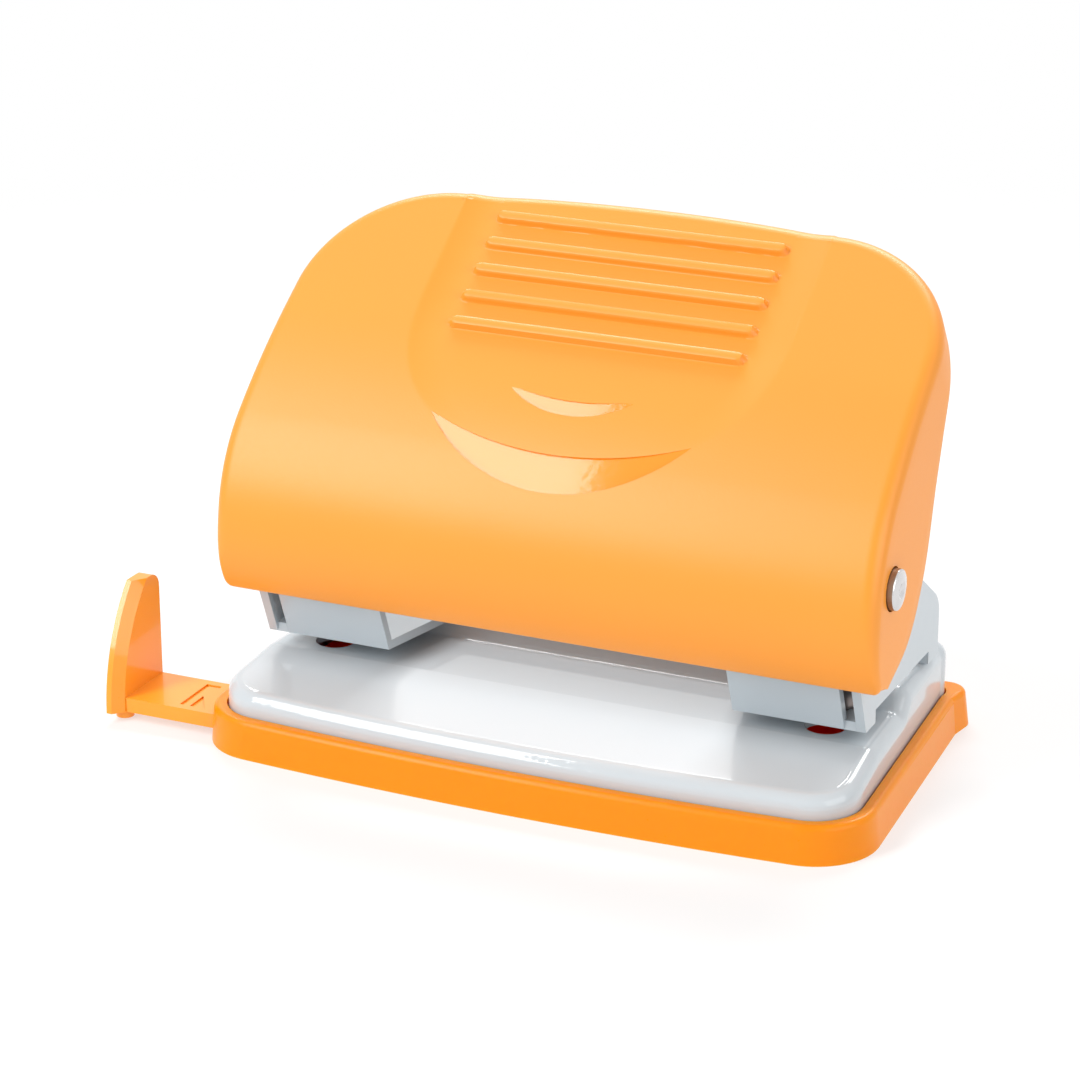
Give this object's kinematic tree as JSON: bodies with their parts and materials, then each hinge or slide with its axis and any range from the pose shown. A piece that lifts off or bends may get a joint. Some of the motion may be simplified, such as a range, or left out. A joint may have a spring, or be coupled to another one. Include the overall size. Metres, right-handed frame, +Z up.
{
  "type": "two-hole paper punch",
  "caption": "Desk punch for two filing holes: sprung lever handle under an orange cover, steel frame on a plastic chip tray, and a sliding paper guide at the side.",
  "frame": {"origin": "on the desk under the chip tray, midway between the axes of the two holes", "axes": "+X along the line of the holes to the user's right, +Y away from the user towards the rear, +Z up"},
  "size_m": [0.1226, 0.0616, 0.0765],
  "materials": {
    "tray_plastic": "smooth moulded orange",
    "guide_plastic": "smooth moulded orange",
    "plate_paint": "glossy pale grey stove enamel",
    "frame_paint": "glossy pale grey stove enamel",
    "rivet_steel": "bright zinc",
    "bush_steel": "turned",
    "axle_steel": "bright drawn",
    "clip_steel": "stamped, bright zinc",
    "lever_steel": "folded sheet, zinc",
    "cover_plastic": "satin moulded orange",
    "screw_steel": "bright zinc",
    "pin_steel": "ground",
    "spring_steel": "drawn wire"
  },
  "bodies": {
    "tray": {"chip_tray": "tray_plastic"},
    "guide": {"paper_guide": "guide_plastic"},
    "frame": {"base_plate": "plate_paint", "upper_frame": "frame_paint", "frame_rivets": "rivet_steel", "guide_bush_left": "bush_steel", "guide_bush_right": "bush_steel", "pivot_axle": "axle_steel", "axle_clips": "clip_steel"},
    "handle": {"handle_lever": "lever_steel", "press_bar": "axle_steel", "handle_cover": "cover_plastic", "cover_screws": "screw_steel"},
    "pin_left": {"punch_pin_left": "pin_steel", "spring_washer_left": "clip_steel", "retaining_ring_left": "clip_steel", "return_spring_left": "spring_steel"},
    "pin_right": {"punch_pin_right": "pin_steel", "spring_washer_right": "clip_steel", "retaining_ring_right": "clip_steel", "return_spring_right": "spring_steel"}
  },
  "joints": [
    {"name": "tray_release", "type": "slide", "parent": "tray", "child": "frame", "axis": [0, 0, 1], "range_m": [0, 0.015]},
    {"name": "guide_slide", "type": "slide", "parent": "tray", "child": "guide", "axis": [-1, 0, 0], "range_m": [-0.0115, 0.06]},
    {"name": "handle_press", "type": "hinge", "parent": "frame", "child": "handle", "pos_m": [0, -0.0081, 0.0373], "axis": [-1, 0, 0], "range_deg": [0, 36], "stiffness_Nm_per_rad": 0.5, "springref_deg": -20.05},
    {"name": "pin_left_stroke", "type": "slide", "parent": "frame", "child": "pin_left", "axis": [0, 0, -1], "range_m": [0, 0.0053], "deforming": ["return_spring_left"]},
    {"name": "pin_right_stroke", "type": "slide", "parent": "frame", "child": "pin_right", "axis": [0, 0, -1], "range_m": [0, 0.0053], "deforming": ["return_spring_right"]}
  ],
  "couplings": [
    {"joint": "pin_left_stroke", "follows": "handle_press", "m_per_rad": 0.0083776},
    {"joint": "pin_right_stroke", "follows": "handle_press", "m_per_rad": 0.0083776}
  ]
}
